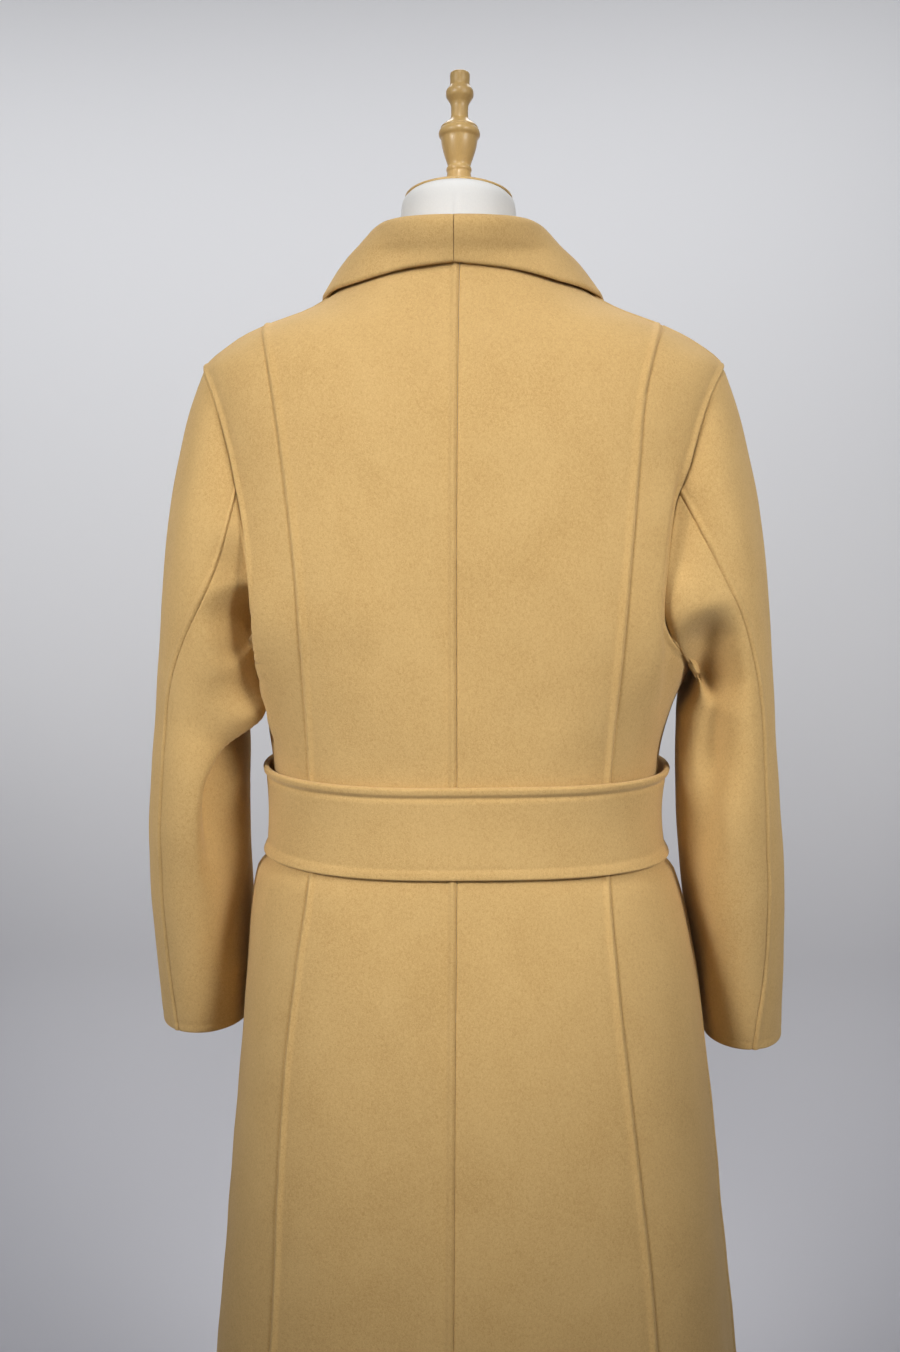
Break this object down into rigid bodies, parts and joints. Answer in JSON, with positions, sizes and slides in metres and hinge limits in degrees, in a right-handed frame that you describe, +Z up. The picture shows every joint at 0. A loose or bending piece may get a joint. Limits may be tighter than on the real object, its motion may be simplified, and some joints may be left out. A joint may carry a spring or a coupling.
{
  "type": "long coat on a dress form",
  "caption": "Long wool wrap coat with princess seams, shawl collar, two-piece sleeves and tie belt, worn by a limbless dress form with a turned finial on a pole and round base.",
  "frame": {"origin": "centre of the round base's underside, on the floor under the pole", "axes": "+Z up along the pole; +Y is the way the wearer faces, so the coat's back faces -Y; +X is the coat's right side"},
  "size_m": [0.5584, 0.4322, 1.5822],
  "materials": {
    "camel_wool": "felted double-face wool with a fine nap",
    "form_cloth": "smooth white jersey over a firm form",
    "turned_wood": "satin lacquered beech",
    "stand_wood": "satin lacquered beech"
  },
  "bodies": {
    "root": {"back_left": "camel_wool", "back_right": "camel_wool", "side_back_left": "camel_wool", "side_back_right": "camel_wool", "front_left": "camel_wool", "front_right": "camel_wool", "upper_sleeve_left": "camel_wool", "upper_sleeve_right": "camel_wool", "under_sleeve_left": "camel_wool", "under_sleeve_right": "camel_wool", "shawl_collar_left": "camel_wool", "shawl_collar_right": "camel_wool", "belt_band": "camel_wool", "belt_knot": "camel_wool", "belt_tail_left": "camel_wool", "belt_tail_right": "camel_wool", "form_torso": "form_cloth", "neck_cap": "turned_wood", "finial": "turned_wood", "pole": "stand_wood", "base": "stand_wood"}
  },
  "joints": []
}
